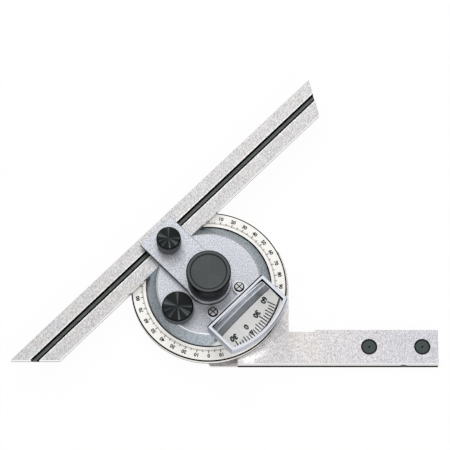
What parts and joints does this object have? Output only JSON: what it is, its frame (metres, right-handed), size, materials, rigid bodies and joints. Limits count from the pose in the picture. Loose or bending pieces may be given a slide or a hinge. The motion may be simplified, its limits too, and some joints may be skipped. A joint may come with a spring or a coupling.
{
  "type": "bevel protractor",
  "caption": "Universal bevel protractor: stock with working edge, graduated dial, swivelling vernier turret with magnifier, sliding grooved blade and clamp knobs.",
  "frame": {"origin": "centre of the spindle at the back face, on the swivel axis", "axes": "+Z along the swivel axis towards the knobs, +X along the stock, -Y out of the working edge"},
  "size_m": [0.1613, 0.1131, 0.0264],
  "materials": {
    "stock_steel": "fine ground satin",
    "blade_steel": "fine ground satin",
    "head_metal": "blasted satin",
    "bracket_metal": "fine satin",
    "dial_chrome": "matt satin chrome",
    "black_metal": "black anodised, turned",
    "black_pin": "black oxide, turned",
    "cap_grey": "dark grey, fine turned",
    "screw_steel": "bright",
    "gear_steel": "plain steel",
    "brass": "turned",
    "lens_glass": "clear polished"
  },
  "bodies": {
    "stock": {"stock_body": "stock_steel", "stock_pins": "black_pin", "main_dial": "dial_chrome", "dial_screws": "screw_steel", "ring_gear": "gear_steel", "spindle": "gear_steel", "spindle_screws": "screw_steel", "thrust_washer": "brass"},
    "turret": {"turret": "head_metal", "pinion_bush": "brass", "vernier_plate": "dial_chrome", "vernier_screws": "screw_steel", "clamp_arm": "head_metal", "arm_screws": "screw_steel", "lock_washer": "black_metal", "magnifier_bracket": "bracket_metal", "magnifier_lens": "lens_glass", "magnifier_screws": "screw_steel"},
    "blade": {"blade": "blade_steel"},
    "shoe": {"blade_shoe": "gear_steel"},
    "blade_clamp": {"clamp_screw": "gear_steel", "blade_clamp_knob": "black_metal"},
    "swivel_lock": {"swivel_lock_knob": "black_metal", "knob_cap": "cap_grey"},
    "fine_adjust": {"pinion_shaft": "gear_steel", "fine_adjust_knob": "black_metal"}
  },
  "joints": [
    {"name": "turret_swivel", "type": "hinge", "parent": "stock", "child": "turret", "pos_m": [0, 0, 0.0048], "axis": [0, 0, 1], "continuous": true},
    {"name": "blade_slide", "type": "slide", "parent": "turret", "child": "blade", "axis": [0.7071, 0.7071, 0], "range_m": [-0.064, 0.048]},
    {"name": "shoe_lift", "type": "slide", "parent": "turret", "child": "shoe", "axis": [0, 0, 1], "range_m": [0, 0.000174]},
    {"name": "blade_clamp_turn", "type": "hinge", "parent": "shoe", "child": "blade_clamp", "pos_m": [-0.01513, 0.01513, 0.0115], "axis": [0, 0, 1], "range_deg": [0, 90]},
    {"name": "swivel_lock_turn", "type": "hinge", "parent": "stock", "child": "swivel_lock", "pos_m": [0, 0, 0.0141], "axis": [0, 0, 1], "range_deg": [0, 120]},
    {"name": "fine_adjust_spin", "type": "hinge", "parent": "turret", "child": "fine_adjust", "pos_m": [-0.01163, -0.01062, 0.0048], "axis": [0, 0, 1], "continuous": true}
  ],
  "couplings": [
    {"joint": "fine_adjust_spin", "follows": "turret_swivel", "ratio": -4.5},
    {"joint": "blade_clamp_turn", "follows": "shoe_lift", "rad_per_m": 8976}
  ]
}
